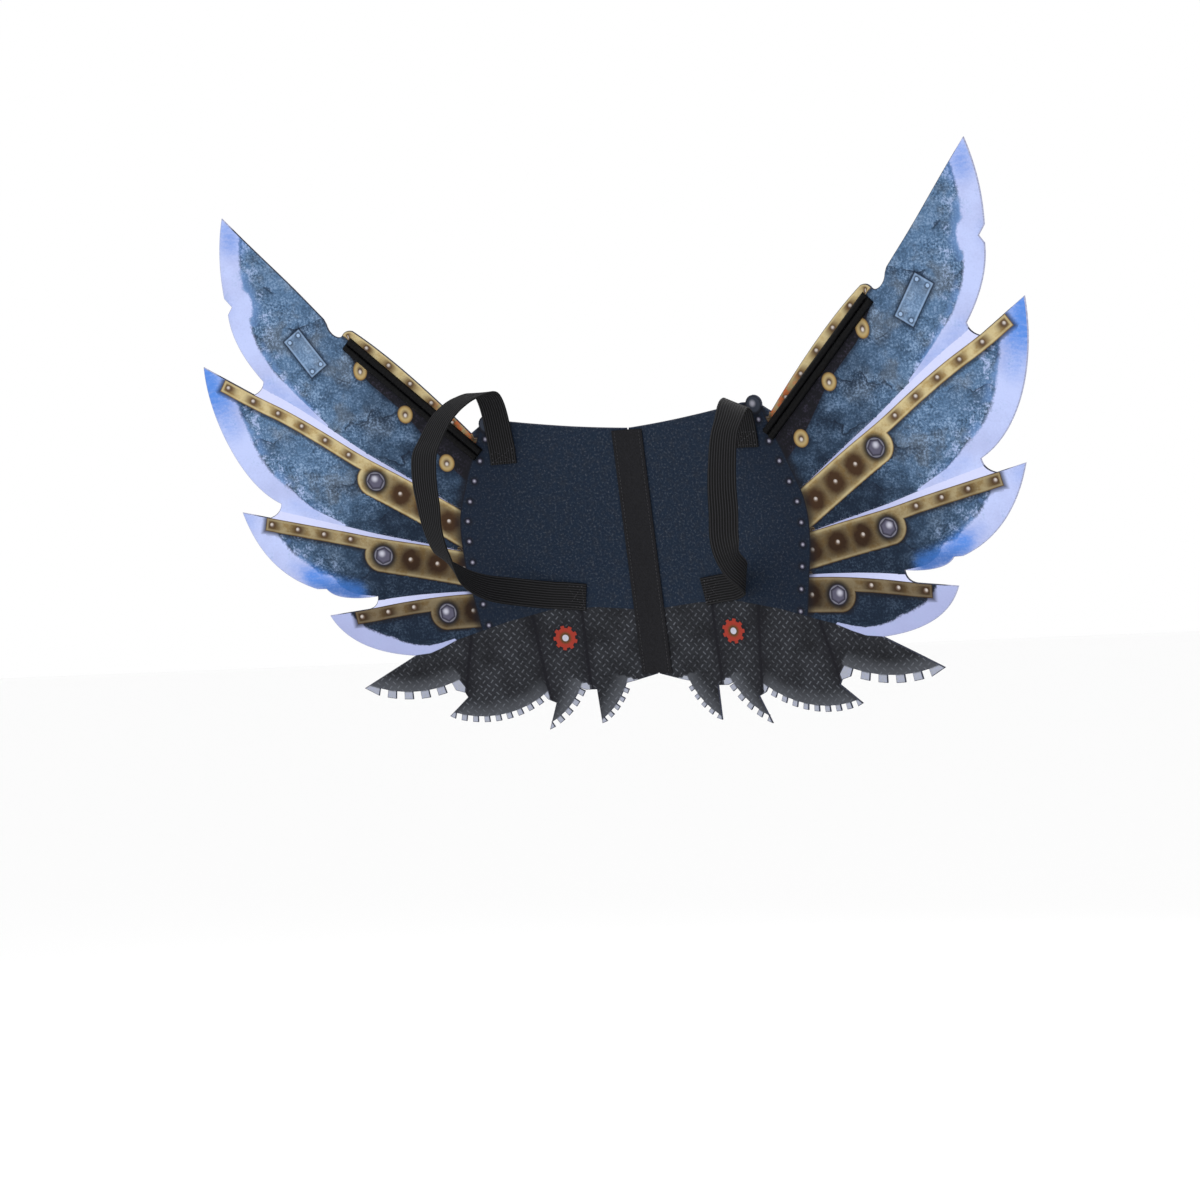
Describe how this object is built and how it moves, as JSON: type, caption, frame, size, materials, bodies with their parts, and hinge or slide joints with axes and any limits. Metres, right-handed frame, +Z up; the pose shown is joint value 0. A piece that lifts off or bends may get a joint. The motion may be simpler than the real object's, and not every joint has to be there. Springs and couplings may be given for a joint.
{
  "type": "steampunk costume wings",
  "caption": "Flat printed-felt costume wings cut as steel blades and saw-toothed fans, worn on the back by elastic shoulder straps, with sewn stays along the leading edges.",
  "frame": {"origin": "on the centre line between the shoulder blades, on the front face of the felt, where the wings lie against the wearer's back", "axes": "+Z up, +X to the wearer's left, the wearer faces -Y"},
  "size_m": [0.634, 0.137, 0.3846],
  "materials": {
    "printed_felt": "printed felt, matt",
    "stay_sleeve": "black satin ribbon",
    "elastic": "ribbed black elastic",
    "seam_tape": "black woven tape"
  },
  "bodies": {
    "root": {"left_wing_panel": "printed_felt", "right_wing_panel": "printed_felt", "left_stay": "stay_sleeve", "right_stay": "stay_sleeve", "left_strap": "elastic", "right_strap": "elastic", "back_tape": "seam_tape"}
  },
  "joints": []
}
